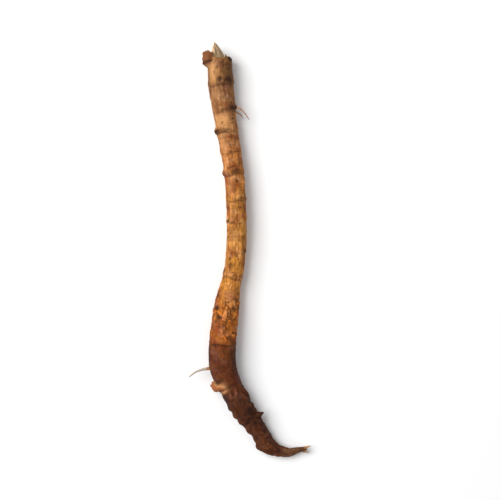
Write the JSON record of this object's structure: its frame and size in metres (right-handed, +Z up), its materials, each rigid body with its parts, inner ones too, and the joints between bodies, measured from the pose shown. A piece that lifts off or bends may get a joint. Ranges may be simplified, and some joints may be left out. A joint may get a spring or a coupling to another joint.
{
  "type": "thorowax root",
  "caption": "Dried taproot lying on its side, with a splintered crown, ringed tapering bark, a swollen rounded heel and a bent, frayed tail.",
  "frame": {"origin": "middle of the root's footprint, on the surface it lies on", "axes": "+Y towards the broken crown, +X towards the bent tail, +Z up from the surface it lies on"},
  "size_m": [0.029, 0.0984, 0.0064],
  "materials": {
    "root_bark": "dried cork bark, matt with a faint sheen on the ridges, pale wood at the crown"
  },
  "bodies": {
    "root": {"thorowax_root": "root_bark"}
  },
  "joints": []
}
